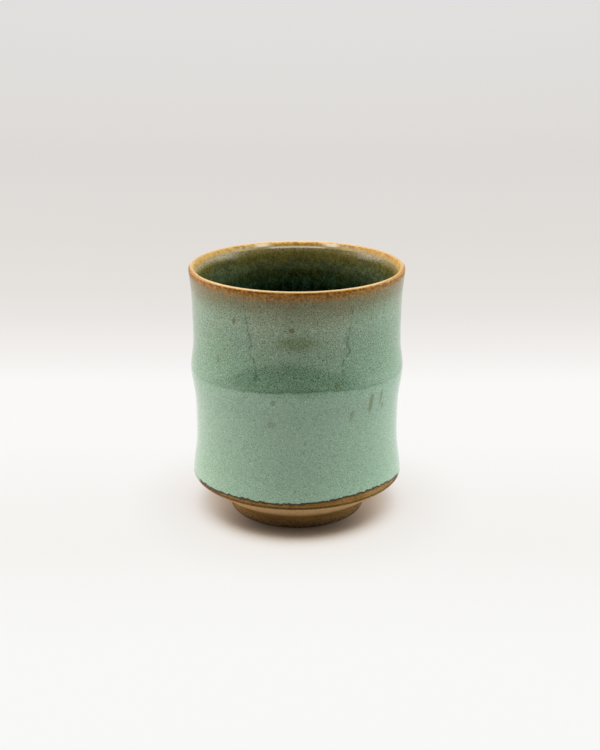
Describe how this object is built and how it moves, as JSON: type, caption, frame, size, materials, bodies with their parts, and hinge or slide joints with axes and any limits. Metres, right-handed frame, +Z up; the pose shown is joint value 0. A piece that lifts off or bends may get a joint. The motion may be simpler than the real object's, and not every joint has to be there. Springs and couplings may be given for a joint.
{
  "type": "yunomi tea cup",
  "caption": "Tall handleless tea cup with a swollen node ring around the wall, rounded lip, trimmed crease under the hip and ring foot, for hot tea.",
  "frame": {"origin": "centre of the foot ring's base, on the table", "axes": "+Z up along the cup's axis of revolution; +X and +Y are horizontal and equal, since the cup is round"},
  "size_m": [0.079, 0.079, 0.0931],
  "materials": {
    "stoneware": "bare iron-brown stoneware, matt, with fine turning lines",
    "foot_stoneware": "bare iron-brown stoneware, matt, trimmed",
    "green_glaze": "glossy pale green glaze with fine dark speckle, darker where it pools",
    "liner_glaze": "glossy olive to deep green glaze",
    "amber_glaze": "glossy amber where the glaze runs thin over the lip"
  },
  "bodies": {
    "root": {"clay_body": "stoneware", "foot_ring": "foot_stoneware", "outer_glaze": "green_glaze", "inner_glaze": "liner_glaze", "rim_glaze": "amber_glaze"}
  },
  "joints": []
}
